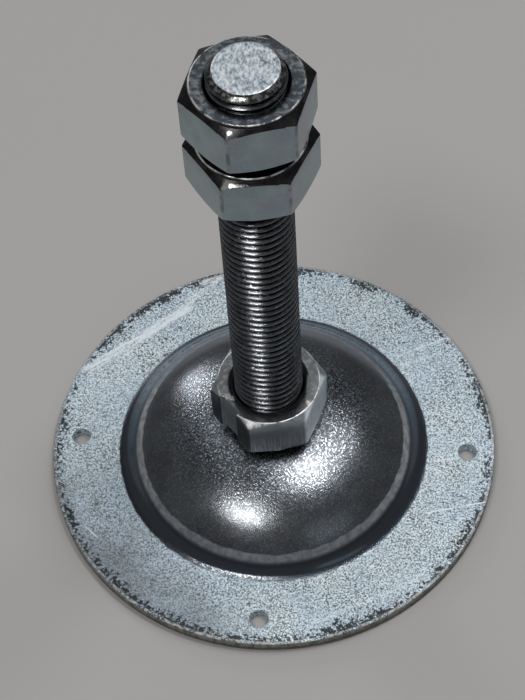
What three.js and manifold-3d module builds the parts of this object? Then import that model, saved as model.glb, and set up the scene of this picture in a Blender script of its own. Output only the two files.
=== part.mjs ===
// Furniture leveling foot: a pressed round base with a domed centre, a ball-ended
// threaded spindle captured in the dome, a wrench nut fixed at the foot of the thread,
// and an adjusting nut with a lock nut above it.
// Millimetres, +Z up along the spindle, origin at the centre of the underside.
import * as THREE from 'three';
import * as BufferGeometryUtils from 'three/addons/utils/BufferGeometryUtils.js';
import Module from 'manifold-3d';

// ---- driving dimensions ------------------------------------------------------
const BASE_R = 67.5;          // base disc, 135 mm across
const PLATE_T = 4.0;          // pressed sheet, flange thickness
const WALL_T = 3.7;           // sheet thickness in the drawn dome
const FLANGE_IN_R = 47.25;    // where the flat flange ends
const CROWN_Z = 20.9;         // top of the dome above the floor
const HOLE_PCD = 118.4;       // four floor-fixing holes
const HOLE_R = 2.75;

const PIVOT_Z = 15.0;         // centre of the ball joint
const BALL_R = 10.5;
const SHELL_IN_R = 10.8;
const SHELL_OUT_R = 12.0;
const POCKET_R = 12.3;

const SOCKET_R = 41.8;        // socket plate inside the dome's foot
const SOCKET_Z0 = 0.4;
const SOCKET_T = 2.0;
const BOSS_R = 17.5;
const BOSS_Z = 10.5;

const THREAD_R = 10.0;        // M20 thread, 2.5 mm pitch
const THREAD_END_R = 8.45;
const NECK_R = 7.5;
const THREAD_Z0 = 24.5;
const STUD_TOP_Z = 175.8;
const END_CHAMFER = 1.5;

const NUT_AF = 30.0;          // across flats, M20 nut
const NUT_BORE_R = 10.3;
// ring: outer radius of the flat top ring; boss: its height above the chamfer
const FOOT_NUT = { z0: 24.5, z1: 40.0, phase: 12.8, ring: 15.03, mouth: 12.5, boss: 0, drop: 1.76 };
const FOOT_GROOVE = { flat: 222.8, s0: -4.3, s1: 3.2, depth: 1.5 };   // upright groove down one flat of the foot nut
const ADJUST_NUT = { z0: 135.5, z1: 151.5, phase: 8.3, ring: 14.2, mouth: 10.75, boss: 1.0, drop: 2.25 };
const LOCK_NUT = { z0: 155.0, z1: 171.4, phase: 17.5, ring: 14.2, mouth: 10.75, boss: 1.0, drop: 2.25 };

const SEG = 72;               // facets around the base plate
const SEG_SMALL = 48;         // facets around the smaller turned pieces

// ---- helpers -----------------------------------------------------------------
const wasm = await Module();
wasm.setup();

function clean(geometry) {
  const g = geometry.index ? geometry.toNonIndexed() : geometry;
  g.deleteAttribute('normal');
  g.deleteAttribute('uv');
  const m = BufferGeometryUtils.mergeVertices(g, 1e-4);
  const idx = m.index.array;
  const pos = m.attributes.position;
  const out = [];
  for (let i = 0; i < idx.length; i += 3) {
    const [a, b, c] = [idx[i], idx[i + 1], idx[i + 2]];
    if (a !== b && b !== c && c !== a) out.push(a, b, c);
  }
  let vol = 0;
  const A = new THREE.Vector3(), B = new THREE.Vector3(), C = new THREE.Vector3();
  for (let i = 0; i < out.length; i += 3) {
    A.fromBufferAttribute(pos, out[i]);
    B.fromBufferAttribute(pos, out[i + 1]);
    C.fromBufferAttribute(pos, out[i + 2]);
    vol += A.dot(B.cross(C)) / 6;
  }
  if (vol < 0) for (let i = 0; i < out.length; i += 3) [out[i], out[i + 1]] = [out[i + 1], out[i]];
  m.setIndex(out);
  return m;
}

function turned(profile, segments = SEG, phase = 0) {
  const pts = profile.map(([r, z]) => new THREE.Vector2(r, z));
  const g = new THREE.LatheGeometry(pts, segments, phase, Math.PI * 2);
  g.rotateX(Math.PI / 2);
  return clean(g);
}

function toManifold(g) {
  return new wasm.Manifold(new wasm.Mesh({
    numProp: 3,
    vertProperties: new Float32Array(g.attributes.position.array),
    triVerts: new Uint32Array(g.index.array),
  }));
}

function fromManifold(man) {
  const mesh = man.getMesh();
  const g = new THREE.BufferGeometry();
  g.setAttribute('position', new THREE.BufferAttribute(new Float32Array(mesh.vertProperties), 3));
  g.setIndex(Array.from(mesh.triVerts));
  return g;
}

// arc of a sphere about the pivot, from polar angle a to b (degrees from +Z)
function sphereArc(R, a, b, n) {
  const pts = [];
  for (let i = 0; i <= n; i++) {
    const t = THREE.MathUtils.degToRad(a + (b - a) * i / n);
    pts.push([Math.max(0, R * Math.sin(t)), PIVOT_Z + R * Math.cos(t)]);
  }
  return pts;
}

// ---- base plate: flat flange, bell-shaped dome, spherical lip around the ball ----
// outer skin from the flange's inner edge up to the crown
const SKIN = [
  [FLANGE_IN_R, PLATE_T], [46.6, 4.22], [45.9, 4.62], [45.0, 5.27], [44.2, 5.98], [43.4, 6.86],
  [42.6, 7.82], [41.7, 8.8], [40.4, 10.02], [38.0, 11.9], [35.0, 13.9], [32.0, 15.55],
  [29.0, 16.92], [26.0, 18.08], [22.5, 19.2], [19.0, 20.08], [15.5, 20.68], [12.4, CROWN_Z],
];
function offsetSkin(skin, t) {
  return skin.map(([r, z], i) => {
    const [r0, z0] = skin[Math.max(0, i - 1)];
    const [r1, z1] = skin[Math.min(skin.length - 1, i + 1)];
    const dr = r1 - r0, dz = z1 - z0, l = Math.hypot(dr, dz);
    const k = i === 0 ? PLATE_T : t;
    const nr = i === 0 ? 0 : dz / l, nz = i === 0 ? 1 : -dr / l;
    return [r - nr * k, z - nz * k];
  });
}
const lipTop = Math.acos((CROWN_Z - PIVOT_Z) / POCKET_R) * 180 / Math.PI;
const under = offsetSkin(SKIN, WALL_T);
const lipBottomZ = under[under.length - 1][1];
const lipBottom = Math.acos((lipBottomZ - PIVOT_Z) / POCKET_R) * 180 / Math.PI;
under.pop();
const underside = under.filter((p, i) => i < 4 ? i % 3 === 0 : i % 2 === 0);
const plateProfile = [
  [BASE_R - 0.5, 0], [BASE_R, 0.5], [BASE_R, PLATE_T - 0.4], [BASE_R - 0.4, PLATE_T],
  ...SKIN,
  ...sphereArc(POCKET_R, lipTop, lipBottom, 3),
  ...underside.reverse(),
];
plateProfile.push(plateProfile[0]);
let basePlate = toManifold(turned(plateProfile));
for (let k = 0; k < 4; k++) {
  const a = k * Math.PI / 2;
  const c = new THREE.CylinderGeometry(HOLE_R, HOLE_R, 12, 24);
  c.rotateX(Math.PI / 2);
  c.translate(Math.cos(a) * HOLE_PCD / 2, Math.sin(a) * HOLE_PCD / 2, 2);
  basePlate = basePlate.subtract(toManifold(clean(c)));
}

// ---- socket plate: floor disc with a raised boss and a spherical recess ----
const recessEnd = Math.acos((BOSS_Z - PIVOT_Z) / POCKET_R) * 180 / Math.PI;
const socketPlate = turned([
  [0, SOCKET_Z0], [SOCKET_R - 0.4, SOCKET_Z0], [SOCKET_R, SOCKET_Z0 + 0.4],
  [SOCKET_R, SOCKET_Z0 + SOCKET_T - 0.4], [SOCKET_R - 0.4, SOCKET_Z0 + SOCKET_T],
  [BOSS_R + 1.5, SOCKET_Z0 + SOCKET_T], [BOSS_R, SOCKET_Z0 + SOCKET_T + 1.5],
  [BOSS_R, BOSS_Z - 0.8], [BOSS_R - 0.8, BOSS_Z],
  ...sphereArc(POCKET_R, recessEnd, 180, 6),
], SEG_SMALL);

// ---- bearing shells around the ball ----
const lowerShell = turned([
  ...sphereArc(SHELL_OUT_R, 180, 98, 8),
  ...sphereArc(SHELL_IN_R, 98, 180, 8),
], SEG_SMALL);
const upperRing = [
  ...sphereArc(SHELL_OUT_R, 82, 60, 3),
  ...sphereArc(SHELL_IN_R, 60, 82, 3),
];
upperRing.push(upperRing[0]);
const upperShell = turned(upperRing, SEG_SMALL);

// ---- spindle: ball, neck and M20 thread body in one piece ----
const neckPolar = Math.asin(NECK_R / BALL_R) * 180 / Math.PI;
const spindle = turned([
  ...sphereArc(BALL_R, 180, neckPolar, 12),
  [NECK_R, 23.7], [8.3, 24.1], [THREAD_R, 25.8],
  [THREAD_R, STUD_TOP_Z - END_CHAMFER], [THREAD_END_R, STUD_TOP_Z], [0, STUD_TOP_Z],
], SEG_SMALL);

// ---- hexagon nuts ----
function hexNut({ z0, z1, phase, ring, mouth, boss, drop }, groove) {
  const rc = NUT_AF / 2 / Math.cos(Math.PI / 6);
  const under = (rc - 14.4) * Math.tan(Math.PI / 6);      // underside chamfer at the corners
  const hex = new THREE.CylinderGeometry(rc, rc, z1 - z0, 6, 1);
  hex.rotateX(Math.PI / 2);
  hex.translate(0, 0, (z0 + z1) / 2);
  // CylinderGeometry puts its first corner on +Z, which rotateX sends to -Y
  hex.rotateZ(THREE.MathUtils.degToRad(phase + 90));
  const cone = turned([
    [0, z0], [14.4, z0], [rc + 0.02, z0 + under], [rc + 0.02, z1 - drop],
    ...(boss > 0 ? [[ring + 0.45, z1 - boss], [ring + 0.15, z1 - 0.3], [ring - 0.15, z1]] : [[ring, z1]]), [0, z1],
  ], SEG_SMALL);
  const csTop = mouth - NUT_BORE_R;
  const cutter = turned([
    [0, z0 - 1], [NUT_BORE_R + 1.45, z0 - 1], [NUT_BORE_R, z0 + 0.45],
    [NUT_BORE_R, z1 - csTop], [mouth + 1, z1 + 1], [0, z1 + 1],
  ], SEG_SMALL);
  let nut = toManifold(clean(hex)).intersect(toManifold(cone)).subtract(toManifold(cutter));
  if (groove) {
    const far = NUT_AF / 2 + 3, near = NUT_AF / 2 - groove.depth;
    const slot = new THREE.BoxGeometry(far - near, groove.s1 - groove.s0, z1 - z0 + 4);
    slot.translate((far + near) / 2, (groove.s0 + groove.s1) / 2, (z0 + z1) / 2);
    slot.rotateZ(THREE.MathUtils.degToRad(groove.flat));
    nut = nut.subtract(toManifold(clean(slot)));
  }
  return fromManifold(nut);
}

// ---- scene -------------------------------------------------------------------
const zincBright = () => new THREE.MeshStandardMaterial({ color: 0xb9c0c6, roughness: 0.32, metalness: 1.0 });
const zincNut = () => new THREE.MeshStandardMaterial({ color: 0x8e9699, roughness: 0.36, metalness: 1.0 });
const zincThread = () => new THREE.MeshStandardMaterial({ color: 0xa2a5a7, roughness: 0.3, metalness: 1.0 });
const steelPlain = () => new THREE.MeshStandardMaterial({ color: 0x83868a, roughness: 0.45, metalness: 1.0 });
const nylon = () => new THREE.MeshStandardMaterial({ color: 0xd9d6cc, roughness: 0.55, metalness: 0.0 });

const foot = new THREE.Group();
foot.name = 'leveling_foot';
const base = new THREE.Group(); base.name = 'base';
const joint = new THREE.Group(); joint.name = 'ball_joint';
const stem = new THREE.Group(); stem.name = 'stem';
const nuts = new THREE.Group(); nuts.name = 'nuts';
foot.add(base, joint, stem, nuts);

function add(group, name, geometry, material) {
  geometry.computeVertexNormals();
  const mesh = new THREE.Mesh(geometry, material);
  mesh.name = name;
  group.add(mesh);
  return mesh;
}
add(base, 'base_plate', fromManifold(basePlate), zincBright());
add(base, 'socket_plate', socketPlate, steelPlain());
add(joint, 'lower_shell', lowerShell, nylon());
add(joint, 'upper_shell', upperShell, nylon());
add(stem, 'spindle', spindle, zincThread());
add(stem, 'foot_nut', hexNut(FOOT_NUT, FOOT_GROOVE), zincNut());
add(nuts, 'adjusting_nut', hexNut(ADJUST_NUT), zincNut());
add(nuts, 'lock_nut', hexNut(LOCK_NUT), zincNut());

export default foot;
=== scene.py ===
import math
import bpy
import bmesh
import numpy as np
from mathutils import Vector, Matrix


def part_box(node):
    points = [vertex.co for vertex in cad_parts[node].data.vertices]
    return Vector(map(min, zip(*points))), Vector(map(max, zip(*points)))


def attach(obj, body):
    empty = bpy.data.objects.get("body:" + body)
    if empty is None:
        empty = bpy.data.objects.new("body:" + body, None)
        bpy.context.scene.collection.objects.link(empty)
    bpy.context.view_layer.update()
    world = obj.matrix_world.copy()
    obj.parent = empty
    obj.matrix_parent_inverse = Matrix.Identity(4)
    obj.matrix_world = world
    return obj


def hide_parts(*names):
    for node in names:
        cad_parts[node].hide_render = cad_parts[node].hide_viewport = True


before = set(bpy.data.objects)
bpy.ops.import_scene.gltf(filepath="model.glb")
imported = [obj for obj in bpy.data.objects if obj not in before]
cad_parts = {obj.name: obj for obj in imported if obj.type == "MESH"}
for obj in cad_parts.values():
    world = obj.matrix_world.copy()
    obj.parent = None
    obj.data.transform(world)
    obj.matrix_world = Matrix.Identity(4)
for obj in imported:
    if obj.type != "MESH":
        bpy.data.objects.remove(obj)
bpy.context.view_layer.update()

MM = 0.001
scene = bpy.context.scene

# ------------------------------------------------------------------ dimensions (mm), as in the CAD
BASE_R, PLATE_T, WALL_T, FLANGE_IN_R, CROWN_Z = 67.5, 4.0, 3.7, 47.25, 20.9
HOLE_PCD, HOLE_R = 118.4, 2.75
PIVOT_Z, BALL_R, POCKET_R = 15.0, 10.5, 12.3
THREAD_R, THREAD_END_R, PITCH = 10.0, 8.45, 2.5
NECK_R = 7.5
NUT_AF, BORE_R = 30.0, 10.25


def span(node):
    lo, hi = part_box(node)
    return lo[2] / MM, hi[2] / MM


# ------------------------------------------------------------------ mesh helpers
def make(name, verts, faces, sharp=32.0):
    me = bpy.data.meshes.new(name)
    me.from_pydata([tuple(v) for v in np.asarray(verts, float) * MM], [], faces)
    bm = bmesh.new()
    bm.from_mesh(me)
    bmesh.ops.remove_doubles(bm, verts=bm.verts, dist=1e-7)
    bmesh.ops.dissolve_degenerate(bm, edges=bm.edges, dist=1e-8)
    if bm.calc_volume(signed=True) < 0:
        bmesh.ops.reverse_faces(bm, faces=bm.faces)
    bm.to_mesh(me)
    bm.free()
    smooth(me, sharp)
    ob = bpy.data.objects.new(name, me)
    scene.collection.objects.link(ob)
    return ob


def smooth(me, angle):
    bm = bmesh.new()
    bm.from_mesh(me)
    lim = math.radians(angle)
    for f in bm.faces:
        f.smooth = True
    for e in bm.edges:
        e.smooth = not (len(e.link_faces) != 2 or e.calc_face_angle(0.0) > lim)
    bm.to_mesh(me)
    bm.free()


def lathe(name, profile, seg, sharp=32.0):
    """profile: (r, z) points, closed loop, or from axis to axis."""
    verts, rows = [], []
    for r, z in profile:
        if r < 1e-6:
            rows.append([len(verts)])
            verts.append((0, 0, z))
        else:
            rows.append(list(range(len(verts), len(verts) + seg)))
            for i in range(seg):
                a = 2 * math.pi * i / seg
                verts.append((r * math.cos(a), r * math.sin(a), z))
    faces = []
    n = len(rows)
    closed = len(rows[0]) > 1 and len(rows[-1]) > 1
    for k in range(n if closed else n - 1):
        a, b = rows[k], rows[(k + 1) % n]
        if len(a) == 1 and len(b) == 1:
            continue
        for i in range(seg):
            j = (i + 1) % seg
            if len(a) == 1:
                faces.append((a[0], b[j], b[i]))
            elif len(b) == 1:
                faces.append((a[i], a[j], b[0]))
            else:
                faces.append((a[i], a[j], b[j], b[i]))
    return make(name, verts, faces, sharp)


def catmull(pts, n):
    p = [np.array(q, float) for q in pts]
    p = [2 * p[0] - p[1]] + p + [2 * p[-1] - p[-2]]
    out = []
    for k in range(1, len(p) - 2):
        for i in range(n):
            t = i / n
            out.append(0.5 * ((2 * p[k]) + (p[k + 1] - p[k - 1]) * t
                              + (2 * p[k - 1] - 5 * p[k] + 4 * p[k + 1] - p[k + 2]) * t * t
                              + (3 * p[k] - p[k - 1] - 3 * p[k + 1] + p[k + 2]) * t ** 3))
    out.append(p[-2])
    return [tuple(q) for q in out]


def offset(pts, t, k0):
    out = []
    for i, (r, z) in enumerate(pts):
        r0, z0 = pts[max(0, i - 1)]
        r1, z1 = pts[min(len(pts) - 1, i + 1)]
        dr, dz = r1 - r0, z1 - z0
        l = math.hypot(dr, dz)
        s = t + (k0 - t) * max(0.0, 1 - i / 8)
        out.append((r - dz / l * s, z + dr / l * s))
    return out


def sphere_arc(R, a, b, n):
    return [(max(0.0, R * math.sin(math.radians(a + (b - a) * i / n))),
             PIVOT_Z + R * math.cos(math.radians(a + (b - a) * i / n))) for i in range(n + 1)]


# ------------------------------------------------------------------ base plate
SKIN = [
    (FLANGE_IN_R, PLATE_T), (46.6, 4.22), (45.9, 4.62), (45.0, 5.27), (44.2, 5.98), (43.4, 6.86),
    (42.6, 7.82), (41.7, 8.8), (40.4, 10.02), (38.0, 11.9), (35.0, 13.9), (32.0, 15.55),
    (29.0, 16.92), (26.0, 18.08), (22.5, 19.2), (19.0, 20.08), (15.5, 20.68), (12.4, CROWN_Z)]
skin = catmull(SKIN, 5)
under = offset(skin, WALL_T, PLATE_T)
lip_top = math.degrees(math.acos((CROWN_Z - 0.25 - PIVOT_Z) / POCKET_R))
lip_bot = math.degrees(math.acos((under[-1][1] + 0.1 - PIVOT_Z) / POCKET_R))
flange = [(r, PLATE_T) for r in np.linspace(66.9, 47.8, 20)]
rim = [(66.7, 0.0), (67.15, 0.12), (67.38, 0.4), (67.44, 1.2), (67.42, 1.75), (67.3, 1.95), (67.36, 2.1),
       (67.5, 2.4), (67.5, 3.45), (67.42, 3.75), (67.22, 3.95)]
floor_side = [(r, 0.0) for r in np.linspace(48.0, 66.0, 16)]
profile = (rim + flange + skin[:-1] + [(12.0, CROWN_Z - 0.02)]
           + sphere_arc(POCKET_R, lip_top, lip_bot, 8) + under[::-1][1:] + floor_side)
base = lathe("base_plate_fine", profile, 288, 38)

cutters = []
for k in range(4):
    a = k * math.pi / 2
    c = lathe(f"hole_cutter_{k}", [(0, -1), (HOLE_R + 0.9, -1), (HOLE_R + 0.25, -0.0), (HOLE_R, 0.3),
                                   (HOLE_R, PLATE_T - 0.4), (HOLE_R + 0.1, PLATE_T - 0.12),
                                   (HOLE_R + 0.32, PLATE_T + 0.02), (HOLE_R + 1.2, PLATE_T + 0.9), (0, PLATE_T + 0.9)], 48)
    c.data.transform(Matrix.Translation((math.cos(a) * HOLE_PCD / 2 * MM, math.sin(a) * HOLE_PCD / 2 * MM, 0)))
    m = base.modifiers.new(f"hole{k}", "BOOLEAN")
    m.operation, m.solver, m.object = "DIFFERENCE", "EXACT", c
    cutters.append(c)
bpy.context.view_layer.update()
cut = bpy.data.meshes.new_from_object(base.evaluated_get(bpy.context.evaluated_depsgraph_get()))
base.modifiers.clear()
base.data = cut
smooth(cut, 38)
for c in cutters:
    bpy.data.objects.remove(c)
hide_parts("base_plate")
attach(base, "base")

# ------------------------------------------------------------------ socket plate, seen from below
sz0, sz1 = span("socket_plate")
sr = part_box("socket_plate")[1][0] / MM
rec = math.degrees(math.acos((sz1 - PIVOT_Z) / POCKET_R))
socket = lathe("socket_plate_fine",
               [(0, sz0 + 0.35), (6, sz0 + 0.35), (6.6, sz0), (sr - 8, sz0), (sr - 0.6, sz0), (sr - 0.15, sz0 + 0.15),
                (sr, sz0 + 0.5), (sr, sz0 + 1.5), (sr - 0.15, sz0 + 1.85), (sr - 0.5, sz0 + 2), (19, sz0 + 2),
                (18.0, sz0 + 2.3), (17.5, sz0 + 3.2), (17.5, sz1 - 0.8), (17.2, sz1 - 0.2), (16.6, sz1)]
               + sphere_arc(POCKET_R, rec, 180, 20), 192, 38)
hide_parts("socket_plate")
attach(socket, "base")

# ------------------------------------------------------------------ spindle with its helical thread
top = span("spindle")[1]
NPT = 96                      # facets a turn
depth = 0.6134 * PITCH
crest_w, root_w = PITCH / 8, PITCH / 4.6
flank = (PITCH - crest_w - root_w) / 2
nodes = []                    # (distance along the pitch, radius)
nodes += [(-crest_w / 2, THREAD_R - 0.05), (-crest_w / 2 + 0.05, THREAD_R), (crest_w / 2 - 0.05, THREAD_R), (crest_w / 2, THREAD_R - 0.05)]
for t in (0.25, 0.5, 0.75):
    nodes.append((crest_w / 2 + flank * t, THREAD_R - 0.05 - (depth - 0.12) * t))
x0 = crest_w / 2 + flank
nodes += [(x0, THREAD_R - depth + 0.12), (x0 + root_w * 0.28, THREAD_R - depth + 0.02),
          (x0 + root_w * 0.5, THREAD_R - depth), (x0 + root_w * 0.72, THREAD_R - depth + 0.02), (x0 + root_w, THREAD_R - depth + 0.12)]
for t in (0.25, 0.5, 0.75):
    nodes.append((x0 + root_w + flank * t, THREAD_R - depth + 0.07 + (depth - 0.12) * t))
xs = np.array([n[0] for n in nodes])
rs = np.array([n[1] for n in nodes])


def thread_r(z, th):
    ph = (z - PITCH * th / (2 * math.pi) + crest_w / 2) % PITCH - crest_w / 2
    return float(np.interp(ph, np.append(xs, xs[0] + PITCH), np.append(rs, rs[0])))


Z0, Z1 = 24.0, top
LOW = [(23.7, NECK_R), (24.1, 8.3), (25.9, THREAD_R + 0.1), (30, 99)]
HIGH = [(top - 30, 99), (top - 1.5, THREAD_R), (top - 0.3, THREAD_END_R + 0.16), (top - 0.1, THREAD_END_R - 0.08), (top, THREAD_END_R - 0.35)]


def limit(z):
    return min(np.interp(z, *zip(*LOW)), np.interp(z, *zip(*HIGH)))


rows = []
turn = int(math.floor(Z0 / PITCH)) - 2
while turn * PITCH < Z1 + PITCH:
    rows += [turn * PITCH + x for x in xs]
    turn += 1
npp = len(xs)
V, F = [], []
for zeta in rows:
    for i in range(NPT):
        th = 2 * math.pi * i / NPT
        z = min(max(zeta + PITCH * th / (2 * math.pi), Z0), Z1)
        r = min(thread_r(z, th), limit(z))
        V.append((r * math.cos(th), r * math.sin(th), z))
nr = len(rows)
for j in range(nr - 1):
    for i in range(NPT):
        if i < NPT - 1:
            q = (j * NPT + i, j * NPT + i + 1, (j + 1) * NPT + i + 1, (j + 1) * NPT + i)
        else:
            if j + npp + 1 >= nr:
                continue
            q = (j * NPT + i, (j + npp) * NPT, (j + npp + 1) * NPT, (j + 1) * NPT + i)
        if len({round(V[k][2], 6) for k in q}) > 1:
            F.append(q)
# the rows below the start and above the end have collapsed onto the end rings
ring_lo, ring_hi = [], []
for i in range(NPT):
    th = 2 * math.pi * i / NPT
    for ring, z in ((ring_lo, Z0), (ring_hi, Z1)):
        r = min(thread_r(z, th), limit(z))
        ring.append(len(V))
        V.append((r * math.cos(th), r * math.sin(th), z))
# end face: rings with a faint sawn unevenness
prev = ring_hi
for f, dz in ((0.93, -0.01), (0.8, -0.02), (0.6, -0.045), (0.4, -0.02), (0.2, -0.03)):
    cur = []
    for i in range(NPT):
        x, y, z = V[ring_hi[i]]
        cur.append(len(V))
        V.append((x * f, y * f, z + dz))
    F += [(prev[i], prev[(i + 1) % NPT], cur[(i + 1) % NPT], cur[i]) for i in range(NPT)]
    prev = cur
V.append((0, 0, Z1 - 0.02))
F += [(prev[i], prev[(i + 1) % NPT], len(V) - 1) for i in range(NPT)]
# neck and ball
neck_polar = math.degrees(math.asin(NECK_R / BALL_R))
prev = ring_lo
for r, z in [(NECK_R, 23.7), (NECK_R, 23.2)] + sphere_arc(BALL_R, neck_polar, 180, 24)[:-1]:
    cur = list(range(len(V), len(V) + NPT))
    V += [(r * math.cos(2 * math.pi * i / NPT), r * math.sin(2 * math.pi * i / NPT), z) for i in range(NPT)]
    F += [(prev[(i + 1) % NPT], prev[i], cur[i], cur[(i + 1) % NPT]) for i in range(NPT)]
    prev = cur
V.append((0, 0, PIVOT_Z - BALL_R))
F += [(prev[(i + 1) % NPT], prev[i], len(V) - 1) for i in range(NPT)]
spindle = make("spindle_thread", V, F, 40)
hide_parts("spindle")
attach(spindle, "stem")


# ------------------------------------------------------------------ nuts
def nut(name, z0, z1, phase, ring, mouth, boss, drop_mid, drop_corner, groove=None):
    rc = NUT_AF / 2 / math.cos(math.pi / 6)
    rf = 0.9                                   # rounding of the hexagon's corners
    per = 44
    az = []
    for s in range(6):
        for i in range(per):
            u = i / per
            az.append(60 * s + 60 * (u + 0.13 * math.sin(2 * math.pi * u) * -1))   # denser at the corners
    if groove:                                 # extra azimuths each side of both groove walls
        flat, s_lo, s_hi, near = groove
        for sw in (s_lo, s_hi):
            for d in (NUT_AF / 2, near):
                w = math.degrees(math.atan2(sw, d)) + flat - phase
                az += [w - 0.7, w - 0.12, w, w + 0.12, w + 0.7]
    az = np.array(sorted(a % 360 for a in az))  # measured from a corner
    az = az[np.append(True, np.diff(az) > 0.03)]

    def side(a):
        d = (a + 30) % 60 - 30                 # from the nearest corner
        flat = NUT_AF / 2 / math.cos(math.radians(30 - abs(d)))
        c = rc - rf / math.cos(math.radians(30))
        t = math.radians(abs(d))
        k = c * math.cos(t) + math.sqrt(max(0, rf * rf - (c * math.sin(t)) ** 2)) if c * math.sin(t) < rf else 0
        tangent = c + rf * math.cos(math.radians(30))
        return min(flat, k) if k and c * math.sin(t) < rf * math.sin(math.radians(30)) else flat

    verts, nrow = [], None
    for a in az:
        sr_ = side(a)
        f = (sr_ - NUT_AF / 2) / (rc - NUT_AF / 2)
        drop = drop_mid + (drop_corner - drop_mid) * f
        low = 0.4 + 1.35 * f
        A = math.radians(a + phase)
        p = [(BORE_R, z0 + 0.9), (BORE_R + 0.9, z0 + 0.12), (BORE_R + 1.2, z0), (ring - 0.5, z0), (ring - 0.15, z0 + 0.06)]
        r1 = max(sr_, ring + 0.02)
        p += [(r1 - 0.25, z0 + low - 0.14), (r1 - 0.07, z0 + low + 0.05), (sr_, z0 + low + 0.35),
              (sr_, z0 + (z1 - z0) * 0.35), (sr_, z0 + (z1 - z0) * 0.65)]
        if boss > 0:
            p += [(sr_, z1 - drop - 0.3), (sr_ - 0.06, z1 - drop - 0.05), (sr_ - 0.25, z1 - drop + 0.08),
                  (ring + 0.45, z1 - boss - 0.02), (ring + 0.22, z1 - boss + 0.16), (ring + 0.1, z1 - 0.3), (ring - 0.02, z1 - 0.1), (ring - 0.2, z1)]
        else:
            p += [(sr_, z1 - drop - 0.3), (sr_ - 0.05, z1 - drop - 0.06), (max(min(sr_ - 0.2, ring + (sr_ - ring) * 0.9), ring), z1 - drop + 0.1),
                  (ring + max(0.0, (sr_ - ring) * 0.5), z1 - drop * 0.5 - 0.05), (ring + 0.0, z1 - 0.16), (ring - 0.06, z1 - 0.06), (ring - 0.16, z1 - 0.01), (ring - 0.34, z1)]
        p += [((ring + mouth) / 2, z1), (mouth + 0.25, z1), (mouth + 0.06, z1 - 0.05), (mouth - 0.1, z1 - 0.18),
              (BORE_R + (mouth - BORE_R) * 0.45, z1 - (mouth - BORE_R) * 0.55 - 0.1), (BORE_R, z1 - (mouth - BORE_R) - 0.1)]
        if groove:
            t = math.radians(a + phase - flat)
            inside = abs(math.degrees(t) % 360 - 180) > 120 and s_lo < near * math.tan(t) < s_hi
            if inside:
                edge = min(near * math.tan(t) - s_lo, s_hi - near * math.tan(t))
                lim = near / math.cos(t) + 0.35 * max(0.0, 1 - edge / 0.5) ** 2
                p = [(min(r, lim - (0.25 if z > z1 - 0.15 else 0.0)), z) for r, z in p]
        nrow = len(p)
        verts += [(r * math.cos(A), r * math.sin(A), z) for r, z in p]
    n = len(az)
    faces = [(i * nrow + j, ((i + 1) % n) * nrow + j, ((i + 1) % n) * nrow + (j + 1) % nrow, i * nrow + (j + 1) % nrow)
             for i in range(n) for j in range(nrow)]
    ob = make(name, verts, faces, 24)
    low = z1 - drop_corner - 0.5
    for f in ob.data.polygons:
        c = f.center / MM
        r = math.hypot(c.x, c.y)
        if c.z > low and r > ring + 0.06 and f.normal.z > -0.2 and (f.normal.z > 0.22 or (boss > 0 and r < NUT_AF / 2 - 0.05)):
            f.material_index = 1
    return ob


z0, z1 = span("foot_nut")
foot_nut = nut("foot_nut_fine", z0, z1, 12.8, 15.03, 11.7, 0, 0.25, 1.76, groove=(222.8, -4.3, 3.2, 13.5))
z0, z1 = span("adjusting_nut")
adj_nut = nut("adjusting_nut_fine", z0, z1, 8.3, 14.2, 10.75, 1.0, 1.6, 2.3)
z0, z1 = span("lock_nut")
lock_nut = nut("lock_nut_fine", z0, z1, 17.5, 14.2, 10.75, 1.0, 1.6, 2.3)
for ob, node, body in ((foot_nut, "foot_nut", "stem"), (adj_nut, "adjusting_nut", "adjuster"), (lock_nut, "lock_nut", "locker")):
    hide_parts(node)
    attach(ob, body)


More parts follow.
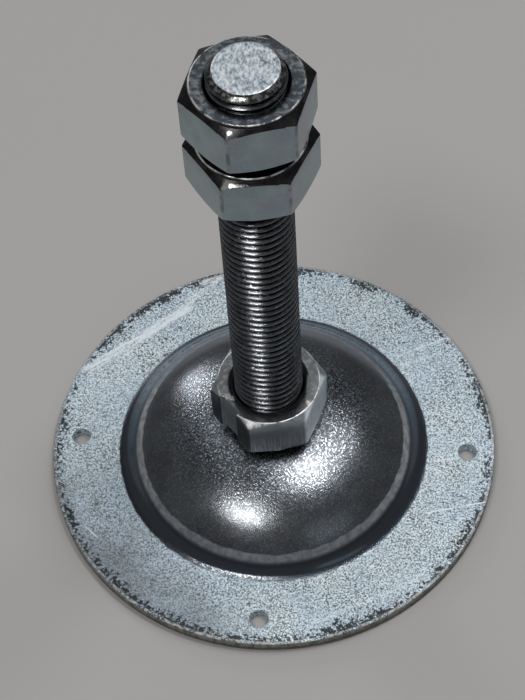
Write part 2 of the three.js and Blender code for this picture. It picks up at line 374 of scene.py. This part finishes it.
# ------------------------------------------------------------------ node material helpers
class Mat:
    def __init__(self, name):
        self.m = bpy.data.materials.new(name)
        self.m.use_nodes = True
        self.t = self.m.node_tree
        self.t.nodes.clear()
        self.out = self.t.nodes.new("ShaderNodeOutputMaterial")
        self.bsdf = self.t.nodes.new("ShaderNodeBsdfPrincipled")
        self.t.links.new(self.bsdf.outputs[0], self.out.inputs[0])
        tc = self.t.nodes.new("ShaderNodeTexCoord")
        self.co = tc.outputs["Object"]
        s = self.t.nodes.new("ShaderNodeSeparateXYZ")
        self.link(self.co, s.inputs[0])
        self.x, self.y, self.z = s.outputs
        c = self.t.nodes.new("ShaderNodeCombineXYZ")
        self.link(self.x, c.inputs[0])
        self.link(self.y, c.inputs[1])
        l = self.t.nodes.new("ShaderNodeVectorMath")
        l.operation = "LENGTH"
        self.link(c.outputs[0], l.inputs[0])
        self.flat = c.outputs[0]
        self.r = l.outputs["Value"]

    def link(self, a, b):
        if isinstance(a, (int, float)):
            b.default_value = a
        elif isinstance(a, (tuple, list)):
            b.default_value = tuple(a) if len(a) == len(b.default_value) else tuple(a) + (1,)
        else:
            self.t.links.new(a, b)

    def math(self, op, a, b=0.0, c=0.0, clamp=False):
        n = self.t.nodes.new("ShaderNodeMath")
        n.operation, n.use_clamp = op, clamp
        for v, s in zip((a, b, c), n.inputs):
            self.link(v, s)
        return n.outputs[0]

    def ramp(self, v, lo, hi, a=0.0, b=1.0, smooth=True):
        n = self.t.nodes.new("ShaderNodeMapRange")
        n.interpolation_type = "SMOOTHSTEP" if smooth else "LINEAR"
        for val, key in ((v, "Value"), (lo, "From Min"), (hi, "From Max"), (a, "To Min"), (b, "To Max")):
            self.link(val, n.inputs[key])
        return n.outputs[0]

    def noise(self, scale, detail=2.0, rough=0.5, vec=None, dist=0.0):
        n = self.t.nodes.new("ShaderNodeTexNoise")
        n.noise_dimensions = "3D"
        self.link(vec if vec is not None else self.co, n.inputs["Vector"])
        n.inputs["Scale"].default_value = scale
        n.inputs["Detail"].default_value = detail
        n.inputs["Roughness"].default_value = rough
        n.inputs["Distortion"].default_value = dist
        return n.outputs["Fac"]

    def mix(self, f, a, b):
        n = self.t.nodes.new("ShaderNodeMix")
        n.data_type = "RGBA"
        self.link(f, n.inputs[0])
        self.link(a, n.inputs[6])
        self.link(b, n.inputs[7])
        return n.outputs[2]

    def mixf(self, f, a, b):
        n = self.t.nodes.new("ShaderNodeMix")
        n.data_type = "FLOAT"
        self.link(f, n.inputs[0])
        self.link(a, n.inputs[2])
        self.link(b, n.inputs[3])
        return n.outputs[0]

    def scale(self, sx, sy, sz, rot=0.0, loc=(0, 0, 0)):
        n = self.t.nodes.new("ShaderNodeMapping")
        self.link(self.co, n.inputs["Vector"])
        n.inputs["Location"].default_value = loc
        n.inputs["Rotation"].default_value = (0, 0, rot)
        n.inputs["Scale"].default_value = (sx, sy, sz)
        return n.outputs[0]

    def bump(self, h, dist, strength=1.0, normal=None):
        n = self.t.nodes.new("ShaderNodeBump")
        n.inputs["Strength"].default_value = strength
        n.inputs["Distance"].default_value = dist
        self.link(h, n.inputs["Height"])
        if normal is not None:
            self.link(normal, n.inputs["Normal"])
        return n.outputs[0]

    def finish(self, colour, rough, metallic=1.0, normal=None):
        self.link(colour, self.bsdf.inputs["Base Color"])
        self.link(rough, self.bsdf.inputs["Roughness"])
        self.link(metallic, self.bsdf.inputs["Metallic"])
        if normal is not None:
            self.link(normal, self.bsdf.inputs["Normal"])
        return self.m


def put(ob, *mats):
    slots = [f.material_index for f in ob.data.polygons]
    ob.data.materials.clear()
    for m in mats:
        ob.data.materials.append(m)
    for f, k in zip(ob.data.polygons, slots):
        f.material_index = k if k < len(mats) else 0


# ------------------------------------------------------------------ zinc plate
m = Mat("zinc_plate")


def stroke(m, x0, y0, x1, y1, half, fade=1.5):
    """1 inside a straight stroke on the plate from (x0, y0) to (x1, y1), in mm"""
    a = math.atan2(y1 - y0, x1 - x0)
    n = m.t.nodes.new("ShaderNodeMapping")
    n.vector_type = "TEXTURE"
    m.link(m.co, n.inputs["Vector"])
    n.inputs["Location"].default_value = ((x0 + x1) / 2 * MM, (y0 + y1) / 2 * MM, 0)
    n.inputs["Rotation"].default_value = (0, 0, a)
    sp = m.t.nodes.new("ShaderNodeSeparateXYZ")
    m.link(n.outputs[0], sp.inputs[0])
    L = math.hypot(x1 - x0, y1 - y0) / 2
    along = m.ramp(m.math("ABSOLUTE", sp.outputs[0]), (L + fade) * MM, (L - fade) * MM)
    across = m.ramp(m.math("ABSOLUTE", sp.outputs[1]), half * MM, half * 0.35 * MM)
    return m.math("MULTIPLY", along, across), n.outputs[0]


def worms(m, scale, width, seed, dist=0.8):
    """short wandering lines where a noise field crosses its middle value"""
    v = m.noise(scale, 2, 0.55, m.scale(1, 1, 1, 0, (seed, seed * 0.7, seed * 1.3)), dist)
    line = m.ramp(m.math("ABSOLUTE", m.math("SUBTRACT", v, 0.5)), width, width * 0.25)
    gaps = m.ramp(m.noise(scale * 1.3, 1, 0.5, m.scale(1, 1, 1, 0, (-seed, seed, seed * 2))), 0.44, 0.56)
    return m.math("MULTIPLY", line, gaps)


# the painted reflection ring at the dome's foot sits a little towards the front
off = m.t.nodes.new("ShaderNodeVectorMath")
off.operation = "ADD"
m.link(m.flat, off.inputs[0])
off.inputs[1].default_value = (-0.00022, 0.0016, 0)
ln = m.t.nodes.new("ShaderNodeVectorMath")
ln.operation = "LENGTH"
m.link(off.outputs[0], ln.inputs[0])
rb = ln.outputs["Value"]
wob = m.math("MULTIPLY", m.math("SUBTRACT", m.noise(260, 3, 0.6), 0.5), 0.0011)
rbw = m.math("ADD", rb, wob)
flange_k = m.ramp(m.math("ADD", m.r, wob), 0.0468, 0.0475)          # 1 on the flat flange
back_k = m.ramp(m.y, 0.004, 0.034)
crown_k = m.ramp(m.math("SUBTRACT", rbw, m.mixf(back_k, 0.0394, 0.0350)), m.mixf(back_k, 0.0004, 0.0030), m.mixf(back_k, -0.0004, -0.0026))   # 1 on the grainy dome
# painted reflection: mask of the paler ring at the dome's foot, weaker at the back
reflection_ring_k = m.math("MULTIPLY", m.ramp(rbw, 0.0391, 0.0398), m.ramp(rb, 0.0419, 0.0408))
reflection_ring_k = m.math("MULTIPLY", reflection_ring_k, m.mixf(back_k, 1.0, 0.35))
# painted shade: mask of the dark outer zone of the fillet where the dome rises from the flange
fillet_shade_k = m.math("MULTIPLY", m.ramp(m.r, 0.0455, 0.0464), m.math("SUBTRACT", 1.0, flange_k))
near_k = m.ramp(m.r, 0.0300, 0.0200)                               # 1 close to the nut
fine = m.noise(1500, 3, 0.62)
finer = m.noise(2600, 2, 0.6)
mid = m.noise(620, 3, 0.6)
broad = m.noise(60, 3, 0.55)
wl = m.math("MAXIMUM", worms(m, 900, 0.050, 3.1), worms(m, 1500, 0.066, 7.7))

# flange: pale blue-white zinc cut up by short dark lines
pale = m.mix(m.ramp(broad, 0.3, 0.7), (0.69, 0.835, 0.955), (0.83, 0.95, 1.0))
pale = m.mix(m.ramp(fine, 0.52, 0.66), pale, (0.95, 0.985, 1.0))
dark_l = m.math("MAXIMUM", wl, m.ramp(m.noise(1750, 3, 0.62), 0.465, 0.41))
dens = m.ramp(m.noise(120, 3, 0.6), 0.35, 0.65, 0.74, 0.97)
fl_col = m.mix(m.math("MULTIPLY", dark_l, dens), pale, (0.020, 0.030, 0.046))
# painted shade: the flange darkens towards the rim on the front left
u = m.math("ADD", m.math("MULTIPLY", m.x, -0.55), m.math("MULTIPLY", m.y, -0.83))
fl_col = m.mix(m.math("MULTIPLY", m.ramp(m.math("ADD", u, m.math("MULTIPLY", m.math("SUBTRACT", broad, 0.5), 0.05)), 0.037, 0.066), m.math("MULTIPLY", m.ramp(m.x, 0.004, -0.018), 0.66)), fl_col, (0.125, 0.145, 0.17))
# rim: coarse black flecks that thin out inwards
rim_t = m.ramp(m.r, 0.0608, 0.0664, 0.74, 0.44, False)
patchy = m.math("MULTIPLY", m.math("SUBTRACT", m.noise(95, 2, 0.5), 0.5), 0.42)
fleck = m.ramp(m.math("SUBTRACT", m.math("ADD", m.noise(900, 4, 0.66), patchy), rim_t), 0.0, 0.03)
fl_col = m.mix(m.math("MULTIPLY", fleck, 0.95), fl_col, (0.014, 0.016, 0.019))
# painted highlight along the rim's top edge, broken up by noise
rim_edge_highlight = m.math("MULTIPLY", m.ramp(m.r, 0.0663, 0.0667), m.ramp(m.noise(900, 2, 0.6), 0.46, 0.56))
fl_col = m.mix(m.math("MULTIPLY", rim_edge_highlight, 0.5), fl_col, (0.86, 0.88, 0.87))
# scratches
scr = None
for k, (x0, y0, x1, y1, hw, lo) in enumerate((
        (-61.5, 23.5, -30.0, 50.0, 2.3, 0.44), (-50.0, 29.5, -21.0, 62.5, 1.1, 0.50), (-27.0, 59.5, -15.0, 64.5, 1.4, 0.46),
        (47.0, -21.9, 65.2, -17.2, 0.34, 0.30), (49.0, -3.9, 58.0, -2.0, 0.5, 0.42), (36.0, 33.5, 53.5, 41.8, 0.9, 0.52),
        (38.5, 30.5, 47.5, 34.5, 0.9, 0.55), (15.0, -60.5, 50.0, -41.5, 0.8, 0.60), (-56, -30, -49, -36, 0.25, 0.4))):
    k_in, vec = stroke(m, x0, y0, x1, y1, hw)
    st = m.t.nodes.new("ShaderNodeMapping")
    m.link(vec, st.inputs["Vector"])
    st.inputs["Scale"].default_value = (150, 2600, 150)
    st.inputs["Location"].default_value = (k * 3.7, k * 1.9, k)
    line = m.ramp(m.noise(1.0, 2, 0.5, st.outputs[0]), lo, lo + 0.07)
    v = m.math("MULTIPLY", k_in, m.math("MAXIMUM", line, 0.30 if hw > 0.7 else 0.0))
    scr = v if scr is None else m.math("MAXIMUM", scr, v)
scr = m.math("MULTIPLY", scr, flange_k)
fl_col = m.mix(m.math("MULTIPLY", scr, 0.85), fl_col, (0.90, 0.96, 1.0))
dsc = None
for x0, y0, x1, y1 in ((-54.6, -1.5, -49.2, -10.2), (-4.0, -52.2, 6.5, -57.2)):
    k_in, _ = stroke(m, x0, y0, x1, y1, 0.22)
    dsc = k_in if dsc is None else m.math("MAXIMUM", dsc, k_in)
fl_col = m.mix(m.math("MULTIPLY", dsc, 0.55), fl_col, (0.12, 0.13, 0.14))

# dome: dark, with black and bright grain; smooth blue-grey foot, darker in front and lighter at the back as painted
# reflection, and a paler ring of painted reflection
d_dark = m.mix(m.ramp(broad, 0.35, 0.65), (0.135, 0.142, 0.152), (0.20, 0.212, 0.228))
d_black = m.math("MAXIMUM", m.ramp(fine, 0.50, 0.42), m.math("MULTIPLY", worms(m, 700, 0.05, 5.3), 0.9))
grainy = m.ramp(m.r, 0.0355, 0.0215, 0.30, 1.0)
dome_col = m.mix(m.math("MULTIPLY", m.math("MULTIPLY", d_black, 0.80), grainy), d_dark, (0.04, 0.042, 0.047))
spk = m.noise(1750, 3, 0.62, m.scale(1, 1, 1, 0.4, (4, 2, 1)))
dome_col = m.mix(m.math("MULTIPLY", m.math("MULTIPLY", m.ramp(spk, 0.52, 0.62), m.mixf(near_k, 0.55, 0.80)), grainy), dome_col, (0.72, 0.79, 0.86))
# painted reflection: the foot is darker at the front and lighter at the back
foot_reflection_col = m.mix(back_k, (0.112, 0.128, 0.152), (0.235, 0.260, 0.298))
foot_reflection_col = m.mix(m.math("MULTIPLY", m.ramp(m.noise(330, 4, 0.65), 0.56, 0.70), 0.35), foot_reflection_col, (0.10, 0.10, 0.105))
# painted reflection: paler ring colour, weaker towards the front
reflection_ring_col = m.mix(m.ramp(m.noise(480, 3, 0.6), 0.35, 0.65), (0.30, 0.312, 0.33), (0.52, 0.54, 0.56))
low_col = m.mix(m.math("MULTIPLY", reflection_ring_k, m.ramp(m.y, -0.034, -0.012, 0.55, 1.0)), foot_reflection_col, reflection_ring_col)
# painted reflection: a dark line just outside the paler ring
dark_reflection_line_k = m.math("MULTIPLY", m.ramp(rb, 0.0415, 0.0419), m.ramp(rb, 0.0427, 0.0422))
low_col = m.mix(m.math("MULTIPLY", dark_reflection_line_k, 0.45), low_col, (0.07, 0.072, 0.085))
# painted shade in the fillet's outer zone, heavier on the left
low_col = m.mix(m.math("MULTIPLY", fillet_shade_k, m.ramp(m.x, -0.012, 0.020, 0.60, 0.0)), low_col, (0.05, 0.052, 0.06))
# the fillet catches the light along the front left
arc_k = m.math("MULTIPLY", m.math("MULTIPLY", m.ramp(m.x, -0.026, -0.016), m.ramp(m.x, 0.010, 0.000)), m.ramp(m.y, -0.020, -0.035))
arc_k = m.math("MULTIPLY", arc_k, m.math("MULTIPLY", m.math("MULTIPLY", m.ramp(m.r, 0.0457, 0.0461), m.ramp(m.r, 0.0470, 0.0466)), m.ramp(fine, 0.44, 0.56)))
low_col = m.mix(m.math("MULTIPLY", arc_k, 0.55), low_col, (0.55, 0.58, 0.60))
col = m.mix(crown_k, low_col, dome_col)
col = m.mix(flange_k, col, fl_col)

edge = m.math("MULTIPLY", m.ramp(m.r, 0.06722, 0.0674), m.ramp(m.z, 0.0039, 0.00365))
low_edge = m.math("MULTIPLY", edge, m.ramp(m.z, 0.0021, 0.0017))
edge_col = m.mix(m.ramp(m.noise(600, 3, 0.6, m.scale(1, 1, 0.4)), 0.35, 0.65), (0.12, 0.125, 0.10), (0.30, 0.30, 0.265))
col = m.mix(edge, col, edge_col)
col = m.mix(m.math("MULTIPLY", low_edge, 0.6), col, (0.06, 0.057, 0.05))

rough = m.mixf(crown_k, m.mixf(reflection_ring_k, 0.17, 0.36), 0.225)
rough = m.mixf(fillet_shade_k, rough, 0.24)
rough = m.mixf(flange_k, rough, 0.46)
rough = m.math("ADD", rough, m.math("MULTIPLY", m.math("SUBTRACT", mid, 0.5), 0.16), clamp=True)
rough = m.mixf(edge, rough, 0.5)
grain_k = m.math("MAXIMUM", m.math("MAXIMUM", flange_k, m.math("MULTIPLY", fillet_shade_k, 0.6)), m.math("MULTIPLY", crown_k, m.math("MULTIPLY", grainy, 0.46)))
grain_k = m.math("MAXIMUM", grain_k, m.math("MULTIPLY", reflection_ring_k, 0.25))
h = m.math("ADD", m.math("MULTIPLY", m.noise(1900, 3, 0.62), 0.80), m.math("MULTIPLY", mid, 0.20))
n1 = m.bump(m.math("MULTIPLY", h, m.math("ADD", m.math("MULTIPLY", grain_k, 0.97), 0.03)), 0.00020, 1.0)
n2 = m.bump(m.noise(130, 2, 0.5), 0.00010, 0.4, n1)
metal = m.mixf(flange_k, 1.0, 0.42)
metal = m.mixf(m.math("MULTIPLY", reflection_ring_k, 0.35), metal, 0.0)
zinc_plate = m.finish(col, rough, metal, n2)
put(base, zinc_plate)

# ------------------------------------------------------------------ plain steel under the dome
m = Mat("plain_steel")
w = m.t.nodes.new("ShaderNodeTexWave")
w.wave_type, w.rings_direction = "RINGS", "Z"
m.link(m.co, w.inputs["Vector"])
w.inputs["Scale"].default_value = 700
w.inputs["Distortion"].default_value = 1.2
w.inputs["Detail"].default_value = 2
ncol = m.ramp(m.noise(260, 4, 0.6), 0.35, 0.65)
col = m.mix(ncol, (0.30, 0.31, 0.32), (0.46, 0.47, 0.49))
nb = m.bump(w.outputs["Fac"], 0.00002, 0.5)
plain = m.finish(col, m.mixf(ncol, 0.45, 0.34), 1.0, nb)
put(socket, plain)

# ------------------------------------------------------------------ thread
m = Mat("zinc_thread")
groove = m.ramp(m.r, 0.0092, 0.00988)
fine = m.noise(1500, 3, 0.6)
turned = m.noise(1.0, 3, 0.6, m.scale(300, 300, 1500))
endk = m.ramp(m.z, top * MM - 0.0002, top * MM - 0.00008)
side = m.ramp(m.z, top * MM - 0.0016, top * MM - 0.0010)
# painted shade: the thread's flanks and roots are near black, only the crests lighter
col = m.mix(groove, (0.010, 0.0105, 0.012), (0.17, 0.178, 0.19))
col = m.mix(m.math("MULTIPLY", m.ramp(turned, 0.50, 0.62), 0.55), col, (0.05, 0.05, 0.055))
col = m.mix(m.math("MULTIPLY", m.ramp(fine, 0.60, 0.70), 0.4), col, (0.70, 0.71, 0.73))
# the stud's top chamfer: dark, with painted glints
chamfer_glint_col = m.mix(m.ramp(m.noise(700, 3, 0.6), 0.45, 0.6), (0.07, 0.07, 0.07), (0.5, 0.49, 0.46))
col = m.mix(m.math("MULTIPLY", side, 0.8), col, chamfer_glint_col)
mott = m.ramp(m.noise(1500, 4, 0.70, m.scale(1, 0.55, 1, 0.5)), 0.30, 0.66)
cloud = m.ramp(m.noise(330, 3, 0.6), 0.35, 0.65)
end_col = m.mix(mott, m.mix(cloud, (0.13, 0.15, 0.175), (0.42, 0.47, 0.51)), m.mix(cloud, (0.70, 0.79, 0.86), (0.93, 0.98, 1.0)))
col = m.mix(endk, col, end_col)
rough = m.mixf(groove, 0.26, 0.18)
rough = m.mixf(endk, rough, m.mixf(mott, 0.33, 0.48))
hb = m.math("ADD", m.math("MULTIPLY", fine, 0.35), m.math("MULTIPLY", m.math("MULTIPLY", m.noise(900, 3, 0.6), endk), 1.0))
thread_mat = m.finish(col, rough, m.mixf(endk, 1.0, 0.62), m.bump(hb, 0.00009, 0.7))
put(spindle, thread_mat)


# ------------------------------------------------------------------ nuts
# chamfer material: its near-black colour is painted shade, the spots are painted glints
def chamfer_mat(name, dark, light, wear_and_glint_spots=()):
    m = Mat(name)
    n = m.noise(420, 4, 0.62)
    col = m.mix(m.ramp(n, 0.42, 0.72), dark, light)
    metal = 1.0
    for x, y, z, rad in wear_and_glint_spots:
        d = m.t.nodes.new("ShaderNodeVectorMath")
        d.operation = "DISTANCE"
        m.link(m.co, d.inputs[0])
        d.inputs[1].default_value = (x * MM, y * MM, z * MM)
        dd = m.math("ADD", d.outputs["Value"], m.math("MULTIPLY", m.math("SUBTRACT", m.noise(900, 3, 0.6), 0.5), 0.0010))
        v = m.math("MULTIPLY", m.ramp(dd, rad * MM, rad * 0.35 * MM), m.ramp(m.noise(1500, 3, 0.65), 0.40, 0.55, 0.25, 1.0))
        col = m.mix(m.math("MULTIPLY", v, 0.85), col, (0.86, 0.87, 0.87))
        metal = m.mixf(v, metal, 0.45)
    return m.finish(col, m.math("ADD", 0.24, m.math("MULTIPLY", n, 0.12)), metal, m.bump(m.noise(700, 3, 0.6), 0.00006, 0.5))


def nut_mat(name, z0, z1, ring, drop, flat_a, flat_b, top_a, top_b, chamfer, brushed=0.0, wear_and_glint_spots=(), mouth=None):
    m = Mat(name)
    topk = m.ramp(m.z, (z1 - drop) * MM, (z1 - drop + 0.2) * MM)
    off_ring = m.ramp(m.r, (ring + 0.12) * MM, (ring + 0.34) * MM)
    chamf = m.math("MULTIPLY", topk, off_ring)
    broad = m.noise(150, 3, 0.55)
    fine = m.noise(1700, 3, 0.6)
    col = m.mix(m.ramp(broad, 0.35, 0.65), flat_a, flat_b)
    if not brushed:
        cloud = m.ramp(m.noise(75, 3, 0.6, m.scale(1, 1, 0.7, 0, (3, 1, 2))), 0.42, 0.62)
        col = m.mix(m.math("MULTIPLY", m.math("MULTIPLY", cloud, m.ramp(m.x, -0.009, 0.001)), m.ramp(m.y, 0.004, -0.008, 0.2, 0.9)), col, (0.315, 0.335, 0.405))
        corner = m.math("MULTIPLY", m.ramp(m.r, 16.9 * MM, 17.15 * MM), m.ramp(m.noise(260, 3, 0.6), 0.38, 0.6))
        col = m.mix(m.math("MULTIPLY", corner, 0.65), col, (0.13, 0.12, 0.11))
    if brushed:
        st = m.ramp(m.noise(1.0, 3, 0.6, m.scale(2400, 2400, 110)), 0.42, 0.66)
        low = m.ramp(m.z, (z0 + (z1 - z0) * 0.75) * MM, (z0 + 1) * MM)
        col = m.mix(m.math("MULTIPLY", m.math("MULTIPLY", st, low), brushed), col, tuple(c * 2.2 for c in flat_b))
    col = m.mix(m.math("MULTIPLY", m.ramp(fine, 0.58, 0.68), 0.30), col, (0.14, 0.15, 0.16))
    if brushed:
        gk = m.math("MULTIPLY", m.ramp(m.r, 14.35 * MM, 14.1 * MM), m.ramp(m.y, -0.0045, -0.0065))
        gk = m.math("MULTIPLY", gk, m.ramp(m.noise(1.0, 2, 0.6, m.scale(900, 900, 60)), 0.36, 0.58))
        col = m.mix(m.math("MULTIPLY", gk, 0.50), col, (0.58, 0.58, 0.56))
        # painted shade on the grooved front-left flat beyond the channel
        d = m.math("ADD", m.math("MULTIPLY", m.x, -0.734), m.math("MULTIPLY", m.y, -0.679))
        left_flat_shade_k = m.ramp(d, 14.3 * MM, 14.6 * MM)
        col = m.mix(m.math("MULTIPLY", left_flat_shade_k, 0.82), col, (0.045, 0.045, 0.05))
        # painted reflection: the right flat shows the bright dome
        right_flat_reflection_k = m.math("MULTIPLY", m.ramp(m.x, 0.0108, 0.0118), m.ramp(m.y, 0.004, 0.0015))
        col = m.mix(m.math("MULTIPLY", right_flat_reflection_k, m.ramp(m.noise(500, 3, 0.6), 0.35, 0.6, 0.55, 0.95)), col, (0.80, 0.90, 0.97))
    mott = m.ramp(m.noise(620, 4, 0.65), 0.46, 0.66)
    sweep = m.ramp(m.noise(1.0, 2, 0.6, m.scale(240, 900, 240, 0.5)), 0.60, 0.70)
    col = m.mix(topk, col, m.mix(m.math("MAXIMUM", m.math("MULTIPLY", mott, 0.8), m.math("MULTIPLY", sweep, 0.6)), top_a, top_b))
    # painted shade: the top chamfer is near black
    if not mouth:
        col = m.mix(m.math("MULTIPLY", chamf, 0.97), col, chamfer)
    # bright line along the ring's outer edge: edge wear with a painted highlight
    line = m.math("MULTIPLY", m.math("MULTIPLY", m.ramp(m.r, (ring - 0.42) * MM, (ring - 0.22) * MM), m.ramp(m.r, (ring + 0.16) * MM, (ring + 0.04) * MM)),
                  m.ramp(m.z, (z1 - 0.55) * MM, (z1 - 0.3) * MM))
    line = m.math("MULTIPLY", line, m.ramp(m.noise(220, 3, 0.6), 0.38, 0.56))
    col = m.mix(m.math("MULTIPLY", line, 0.9), col, (0.88, 0.88, 0.86))
    if mouth:
        # painted shade in the countersink
        cone = m.math("MULTIPLY", m.ramp(m.r, (mouth + 0.05) * MM, (mouth - 0.15) * MM), topk)
        col = m.mix(m.math("MULTIPLY", cone, 0.35), col, (0.12, 0.14, 0.14))
    # bright spots: wear on the foot nut, painted glints on the lock nut
    wear_and_glint = None
    for x, y, z, rad in wear_and_glint_spots:
        d = m.t.nodes.new("ShaderNodeVectorMath")
        d.operation = "DISTANCE"
        m.link(m.co, d.inputs[0])
        d.inputs[1].default_value = (x * MM, y * MM, z * MM)
        dd = m.math("ADD", d.outputs["Value"], m.math("MULTIPLY", m.math("SUBTRACT", m.noise(700, 3, 0.6), 0.5), 0.0022))
        v = m.math("MULTIPLY", m.ramp(dd, rad * MM, rad * 0.4 * MM), m.ramp(m.noise(1700, 3, 0.65), 0.38, 0.54))
        wear_and_glint = v if wear_and_glint is None else m.math("MAXIMUM", wear_and_glint, v)
    if wear_and_glint is not None:
        col = m.mix(m.math("MULTIPLY", wear_and_glint, 0.92), col, (0.93, 0.89, 0.83))
    # painted shade inside the bore
    bore = m.ramp(m.r, 0.0108, 0.0103)
    col = m.mix(bore, col, (0.05, 0.05, 0.055))
    rough = m.mixf(topk, 0.33, 0.25)
    rough = m.math("ADD", rough, m.math("MULTIPLY", m.math("SUBTRACT", broad, 0.5), 0.16))
    rough = m.mixf(line, rough, 0.42)
    metal = 1.0 if wear_and_glint is None else m.mixf(wear_and_glint, 1.0, 0.5)
    if wear_and_glint is not None:
        rough = m.mixf(wear_and_glint, rough, 0.45)
    if brushed:
        metal = m.mixf(right_flat_reflection_k, metal, 0.35)
    hb = m.math("ADD", m.math("MULTIPLY", fine, 0.30), m.math("MULTIPLY", m.noise(260, 3, 0.55), 0.70))
    return m.finish(col, rough, metal, m.bump(hb, 0.00006, 0.45))


def at(az, r, z):
    return (r * math.cos(math.radians(az)), r * math.sin(math.radians(az)), z)


for ob, node, ring, drop, a, b, ta, tb, chamfer_shade_col, br, mouth in (
        (foot_nut, "foot_nut", 15.03, 0.2, (0.42, 0.44, 0.46), (0.54, 0.56, 0.585), (0.19, 0.197, 0.20), (0.40, 0.40, 0.385), (0.24, 0.24, 0.235), 0.75, 11.7),
        (adj_nut, "adjusting_nut", 14.2, 1.35, (0.285, 0.355, 0.38), (0.35, 0.425, 0.445), (0.105, 0.118, 0.132), (0.40, 0.43, 0.45), (0.031, 0.030, 0.030), 0.0, None),
        (lock_nut, "lock_nut", 14.2, 1.35, (0.285, 0.355, 0.38), (0.35, 0.425, 0.445), (0.105, 0.118, 0.132), (0.40, 0.43, 0.45), (0.031, 0.030, 0.030), 0.0, None)):
    lo, hi = span(node)
    wear_and_glint_spots = ()
    if node == "foot_nut":
        wear_and_glint_spots = (at(254, 16.1, hi - 0.8) + (1.45,), at(262, 15.6, hi - 0.4) + (1.1,), at(271, 15.2, hi - 0.2) + (0.8,), at(328, 14.2, hi) + (1.15,),
                at(209, 13.1, hi) + (1.4,), at(214, 12.2, hi) + (1.2,))
    elif node == "lock_nut":
        # a painted glint at the lock nut's front-left corner
        wear_and_glint_spots = (at(257.5, 16.3, hi - 1.9) + (0.8,),)
    mats = [nut_mat(f"zinc_{node}", lo, hi, ring, drop, a, b, ta, tb, chamfer_shade_col, br, wear_and_glint_spots, mouth)]
    if node != "foot_nut":
        # painted glints on the chamfer near the front-left corners
        chamfer_glints = (at(259, 15.7, hi - 1.25) + (0.85,),) if node == "lock_nut" else tuple(
            at(256 + 3.0 * k, 15.75 - 0.11 * k, hi - 1.45) + (0.8 - 0.05 * k,) for k in range(6))
        mats.append(chamfer_mat(f"dark_{node}", chamfer_shade_col, tuple(c * 1.5 for c in chamfer_shade_col), chamfer_glints))
    put(ob, *mats)

# ------------------------------------------------------------------ nylon shells
m = Mat("nylon")
n = m.noise(300, 3, 0.5)
nyl = m.finish(m.mix(n, (0.72, 0.70, 0.64), (0.84, 0.82, 0.77)), m.mixf(n, 0.48, 0.6), 0.0, m.bump(m.noise(1500, 2, 0.5), 0.00003, 0.4))
for name in ("lower_shell", "upper_shell"):
    put(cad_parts[name], nyl)
    smooth(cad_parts[name].data, 40)

# ------------------------------------------------------------------ floor
bpy.ops.mesh.primitive_plane_add(size=6.0, location=(0, 0, -0.00005))
floor = bpy.context.object
floor.name = "studio_floor"
m = Mat("floor_paper")
n = m.noise(6, 2, 0.5)
put(floor, m.finish(m.mix(n, (0.470, 0.453, 0.438), (0.495, 0.478, 0.463)), 0.85, 0.0, m.bump(m.noise(260, 2, 0.5), 0.0002, 0.15)))
floor.data.materials[0].node_tree.nodes["Principled BSDF"].inputs["Specular IOR Level"].default_value = 0.2

# ------------------------------------------------------------------ light and camera
world = bpy.data.worlds.new("studio")
scene.world = world
world.use_nodes = True
bg = world.node_tree.nodes["Background"]
bg.inputs[0].default_value = (0.93, 0.96, 1.0, 1)
bg.inputs[1].default_value = 0.17

TARGET = Vector((0, 0, 0.04))


def area(name, az, el, dist, sx, sy, power, colour=(1, 1, 1)):
    l = bpy.data.lights.new(name, "AREA")
    l.shape, l.size, l.size_y, l.energy, l.color = "RECTANGLE", sx, sy, power, colour
    o = bpy.data.objects.new(name, l)
    a, e = math.radians(az), math.radians(el)
    o.location = TARGET + dist * Vector((math.cos(e) * math.cos(a), math.cos(e) * math.sin(a), math.sin(e)))
    o.rotation_euler = (TARGET - o.location).to_track_quat("-Z", "Y").to_euler()
    scene.collection.objects.link(o)
    return o


# azimuths are from +X, the line of two of the fixing holes
area("front_left", 240, 62, 1.6, 0.46, 0.24, 5.8, (1.0, 0.99, 0.97))
area("right_high", 22, 74, 1.6, 0.32, 0.22, 6.6, (0.98, 0.99, 1.0))
area("right_low", 40, 58, 1.6, 0.26, 0.22, 2.0, (0.98, 0.99, 1.0))
area("back_left", 125, 25, 2.2, 0.28, 0.75, 4.4, (0.97, 0.98, 1.0))
area("overhead", 115, 66, 1.8, 1.15, 0.95, 1.6, (0.93, 0.97, 1.0))
area("front_right_panel", 316, 41, 1.8, 0.75, 0.40, 0.34, (0.84, 0.93, 1.0))

cam_d = bpy.data.cameras.new("photo_camera")
cam_d.sensor_width = 36
cam_d.lens = 105.5417
cam_d.clip_start = 0.05
cam_d.dof.use_dof = False
cam = bpy.data.objects.new("photo_camera", cam_d)
scene.collection.objects.link(cam)
rot = Matrix(((0.9964754648346644, -0.0369918233250994, 0.07528780106779741),
              (0.07253097666394058, 0.8308411750597702, -0.5517628106799835),
              (-0.0421414926968008, 0.5552788009931452, 0.8305958991958126)))
cam.matrix_world = Matrix.Translation((0.04295477360374152, -0.32288348528990174, 0.5416666085357377)) @ rot.to_4x4()
scene.camera = cam
scene.view_settings.view_transform = "Standard"
scene.view_settings.look = "None"
